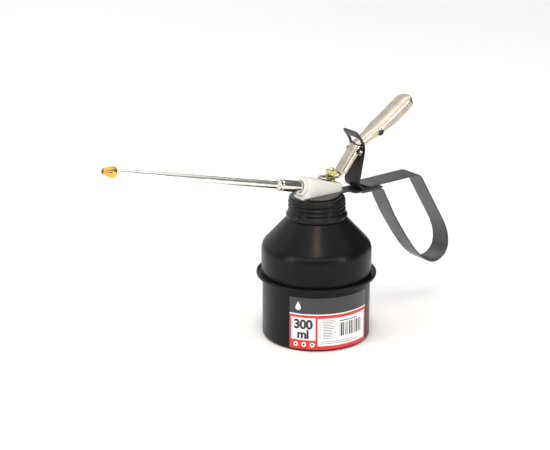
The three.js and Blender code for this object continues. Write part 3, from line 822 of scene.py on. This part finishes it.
def lever_half_width(x):
    """Half the lever's width at a distance along X: tongue, channel, then paddle with a round end."""
    width = 4.3 + 0.65 * smooth_step(x, 15, 19) + 2.2 * smooth_step(x, 40, 51)
    nose = 5.5
    past = (x - LEVER_END + nose) / nose
    if past > 0:
        width *= math.sqrt(max(1 - past ** 2.6, 0.012))
    tip = LEVER_LOW.x + 3
    if x < tip:
        width *= math.sqrt(max(1 - ((tip - x) / 3.2) ** 2, 0.02))
    return width


def lever_depth(x):
    """How far the side flanges hang below the back."""
    channel = 2.1 * smooth_step(x, 17.6, 18.6) + 1.1 * smooth_step(x, 34, 44)
    lug = 1.6 * math.exp(-((x - FULCRUM.x + 0.5) / 3.4) ** 2)
    paddle = 1.3 * smooth_step(x, 50, 60) - 0.9 * smooth_step(x, 68, 78)
    return LEVER_SHEET + 0.02 + channel + (lug + paddle) * smooth_step(x, 20, 23)


def channel_section(width, depth, drop):
    """An upside-down U, as (across, up) points, with round outer corners and a slightly crowned back."""
    corner = min(1.3, width * 0.6, depth * 0.8)
    inner = max(width - LEVER_SHEET, 0.02)
    quarter = [math.radians(a) for a in (0, 22.5, 45, 67.5, 90)]
    left = [(-width, -depth + 0.2), (-width, -corner - (depth - corner) * 0.5)]
    left += [(-width + corner - corner * math.cos(a), -corner + corner * math.sin(a)) for a in quarter]
    crown = [(across * (width - corner), 0.22 * (1 - across ** 2)) for across in (-0.6, -0.2)]
    side = left + crown
    outer = side + [(-x, y) for x, y in side[::-1]]
    roof = -LEVER_SHEET
    under = [(inner + 0.2 * (width - inner), -depth), (inner, -depth + 0.2),
             (inner, min(roof - 0.01, -depth * 0.6)), (inner * 0.9, roof), (inner * 0.3, roof + 0.1)]
    inside = under + [(-x, y) for x, y in under[::-1]]
    return [Vector((x, y - drop)) for x, y in outer + inside]


def build_lever():
    bend = LEVER_END - 4
    bend_height = 141.8 + 0.671 * (bend - 54.6)
    route = Route([(LEVER_LOW.x, 110.4), (15.9, 109.1, 1.8), (30.9, 128.1, 9), (54.6, 141.8, 40),
                   (bend, bend_height, 9), (LEVER_END + 0.1, bend_height + 1.5)])
    bm = bmesh.new()
    steps = 170
    rings = []
    for k in range(steps + 1):
        s = route.length * k / steps
        place, left, along = route.at(s)
        past = max((place.x - LEVER_END + 1.6) / 1.6, 0)
        drop = 1.1 * (1 - math.sqrt(max(1 - past ** 2, 0)))
        ring = []
        for across, up in channel_section(lever_half_width(place.x), lever_depth(place.x), drop):
            point = place + left * up
            ring.append(bm.verts.new((point.x, across, point.y)))
        rings.append(ring)
    count = len(rings[0])
    for here, after in zip(rings, rings[1:]):
        for i in range(count):
            n = (i + 1) % count
            bm.faces.new((here[i], here[n], after[n], after[i]))
    bm.faces.new(rings[0])
    bm.faces.new(rings[-1][::-1])
    # Painted shade: a dark rubber-coloured disc set just inside the near flange behind the notch, standing
    # in for the shade in the hollow there; it is no real part of the lever
    notch_shade_disc = turned(fillet([(0, -0.4), (2.6, -0.4, 0.2), (2.6, 0.4, 0.2), (0, 0.4)]),
                 placing=crosswise(NOTCH + Vector((0.3, -5.3, 0.5))))
    finish_piece("lever_notch_painted_shade", notch_shade_disc, RUBBER, "lever")
    lever = finish_piece("lever", bm, LEVER_NICKEL, "lever", ["thumb_lever"], sharp=50)
    slot = flat_sheet([rounded_box(PUMP_X - 2.5, -2.5, 17.8, 2.5, 2.3)], 14, 0.01)
    bmesh.ops.translate(slot, vec=(0, 0, 108), verts=slot.verts)
    bore = turned(hole(1.6), placing=crosswise(FULCRUM))
    notch = turned(hole(2.4), placing=crosswise(NOTCH))
    cut(lever, cutter(slot), cutter(bore), cutter(notch))


build_lever()

# ---------------------------------------------------------------- the two springs


def coil(radius, wire, length, turns, placing):
    """A spring of round wire, wound upwards from its low end."""
    bm = bmesh.new()
    steps = turns * 24
    rise = (length - 2 * wire) / steps
    rings = []
    for k in range(steps + 1):
        around = Matrix.Rotation(2 * math.pi * k / 24, 4, "Z")
        centre = Vector((radius, 0, wire + rise * k))
        angles = [2 * math.pi * i / 10 for i in range(10)]
        section = [centre + Vector((wire * math.cos(a), 0, wire * math.sin(a))) for a in angles]
        rings.append([bm.verts.new(placing @ around @ place) for place in section])
    for here, after in zip(rings, rings[1:]):
        for i in range(10):
            n = (i + 1) % 10
            bm.faces.new((here[i], here[n], after[n], after[i]))
    bm.faces.new(rings[0])
    bm.faces.new(rings[-1][::-1])
    return bm


def build_springs():
    low, high = limits("return_spring")
    upright = Matrix.Translation((PUMP_X, 0, low.z))
    length = high.z - low.z
    bm = coil(2.75, 0.35, length, 9, upright)
    spring = finish_piece("return_coil", bm, STEEL, "head", ["return_spring"])
    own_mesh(spring)
    start, end = 5.4, 11.7
    bm = coil(1.9, 0.3, end - start, 4, spout_frame(start))
    spring = finish_piece("outlet_coil", bm, STEEL, "head", ["outlet_spring"])
    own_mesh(spring)


build_springs()

# ---------------------------------------------------------------- hidden pieces keep their CAD shapes

HIDDEN = {
    "cap_gasket": RUBBER, "rod_seal": RUBBER, "piston_cup": RUBBER,
    "body_screw_1": STEEL, "body_screw_2": STEEL, "pump_barrel": STEEL,
    "foot_ball": STEEL, "outlet_ball": STEEL,
    "rod_gland": BRASS, "piston": BRASS, "foot_valve_body": BRASS, "strainer": BRASS,
    "suction_tube": TUBE_PLASTIC,
}
for node, material in HIDDEN.items():
    frame["nodes"][node].data.materials.clear()
    frame["nodes"][node].data.materials.append(material)

# ---------------------------------------------------------------- floor, light and camera


def build_floor():
    half = 4.0
    mesh = bpy.data.meshes.new("floor")
    corners = [(-half, -half, 0), (half, -half, 0), (half, half, 0), (-half, half, 0)]
    mesh.from_pydata(corners, [], [(0, 1, 2, 3)])
    n = Nodes("floor")
    n.two_colours(n.noise(3, 2), (0.93, 0.93, 0.93), (0.95, 0.95, 0.95))
    n.set(roughness=0.9)
    mesh.materials.append(n.material)
    floor = bpy.data.objects.new("floor", mesh)
    bpy.context.scene.collection.objects.link(floor)


def softbox(name, place, target, size, power, colour=(1, 1, 1)):
    data = bpy.data.lights.new(name, "AREA")
    data.shape = "RECTANGLE"
    data.size, data.size_y = size
    data.energy = power
    data.color = colour
    lamp = bpy.data.objects.new(name, data)
    lamp.location = place
    lamp.rotation_euler = (Vector(target) - Vector(place)).to_track_quat("-Z", "Y").to_euler()
    bpy.context.scene.collection.objects.link(lamp)


def build_light():
    """A dark room in front, a white wall behind, and a bright arch over the camera."""
    world = bpy.data.worlds.new("studio")
    world.use_nodes = True
    world.node_tree.nodes["Background"].inputs["Color"].default_value = (1, 1, 1, 1)
    world.node_tree.nodes["Background"].inputs["Strength"].default_value = 0.15
    bpy.context.scene.world = world
    middle = (0, 0, 0.06)
    softbox("wall", (-0.4, 2.2, 1.4), (-0.2, 0, 0.9), (5.0, 2.5), 34)
    softbox("overhead", (0.2, 0.3, 2.2), (0.2, 0.25, 0), (4.0, 3.6), 54)
    softbox("ridge", (-0.37, -0.52, 1.6), middle, (0.12, 0.9), 7, (1, 0.78, 0.62))
    softbox("arch_top", (-0.7, -0.96, 0.8), middle, (2.4, 0.14), 9)
    softbox("arch_left", (-1.15, 0.02, 0.4), middle, (0.14, 0.8), 4)
    softbox("arch_right", (0.35, -1.1, 0.4), middle, (0.14, 0.8), 4)


def build_camera():
    data = bpy.data.cameras.new("camera")
    data.sensor_width = 36
    data.lens = 107.27
    camera = bpy.data.objects.new("camera", data)
    camera.location = (-0.63498, -0.82646, 0.42749)
    target = Vector((-0.0226, 0.01642, 0.07707))
    camera.rotation_euler = (target - camera.location).to_track_quat("-Z", "Y").to_euler()
    bpy.context.scene.collection.objects.link(camera)
    bpy.context.scene.camera = camera


build_floor()
build_light()
build_camera()
bpy.context.scene.view_settings.view_transform = "Standard"
